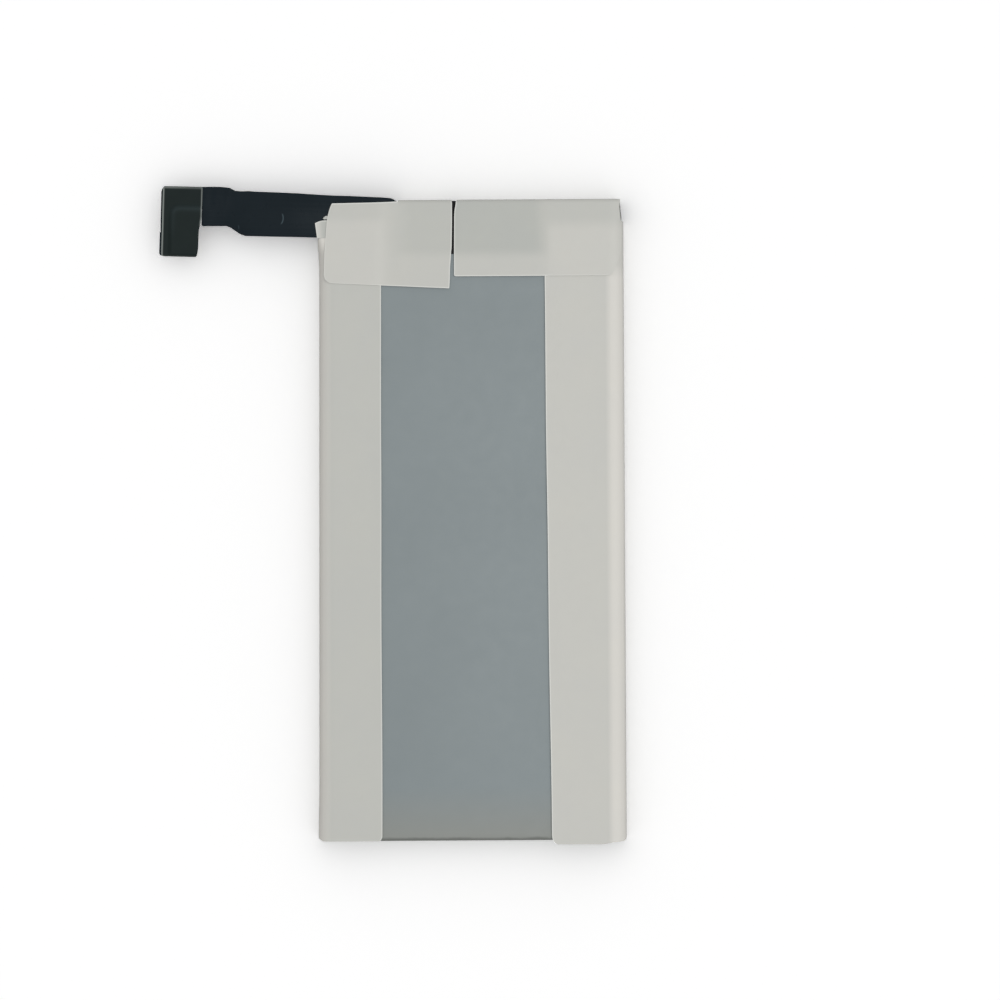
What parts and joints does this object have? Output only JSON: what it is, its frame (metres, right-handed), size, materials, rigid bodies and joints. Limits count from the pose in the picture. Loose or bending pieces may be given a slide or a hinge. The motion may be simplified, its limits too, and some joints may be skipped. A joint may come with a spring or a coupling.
{
  "type": "mobile phone battery",
  "caption": "Flat lithium polymer battery for a mobile phone, pouch cell in a folded label with a flexible connector tail.",
  "frame": {"origin": "centre of the pack on the front face of its label, the face that it lies on", "axes": "+X across the pack, away from the side where the tail leaves, +Y along the pack towards the end with the circuit board, +Z out of the back"},
  "size_m": [0.0667, 0.0947, 0.0044],
  "materials": {
    "laminate": "satin nylon faced aluminium laminate",
    "label": "matt label film, pale warm grey",
    "black_tape": "satin black insulating tape",
    "flex": "satin black cover layer on a flexible circuit",
    "pad_film": "satin black film with a pale cut edge",
    "stiffener": "rolled stainless sheet",
    "connector_body": "moulded black",
    "contact_gold": "gold plated copper alloy",
    "board": "green solder mask on glass epoxy",
    "chip_body": "moulded epoxy",
    "chip_ceramic": "fired ceramic with tinned ends",
    "chip_resistor": "black glazed top with tinned ends",
    "fuse_body": "pale ceramic with tinned ends",
    "nickel": "rolled nickel",
    "tab_aluminium": "rolled aluminium foil strip",
    "tab_film": "milky polypropylene film",
    "foam": "fine closed cell foam"
  },
  "bodies": {
    "root": {"pouch_cell": "laminate", "cathode_tab": "tab_aluminium", "anode_tab": "nickel", "tab_films": "tab_film", "bay_foam": "foam", "cathode_plate": "nickel", "anode_plate": "nickel", "protection_board": "board", "switch_transistors": "chip_body", "protection_ic": "chip_body", "chip_fuse": "fuse_body", "chip_capacitors": "chip_ceramic", "chip_resistors": "chip_resistor", "thermistor": "chip_resistor", "board_cover_tape": "black_tape", "flex_tail": "flex", "pad_stiffener": "stiffener", "pad_cover_film": "pad_film", "connector_housing": "connector_body", "signal_contacts": "contact_gold", "power_contacts": "contact_gold", "label_wrap": "label"}
  },
  "joints": []
}
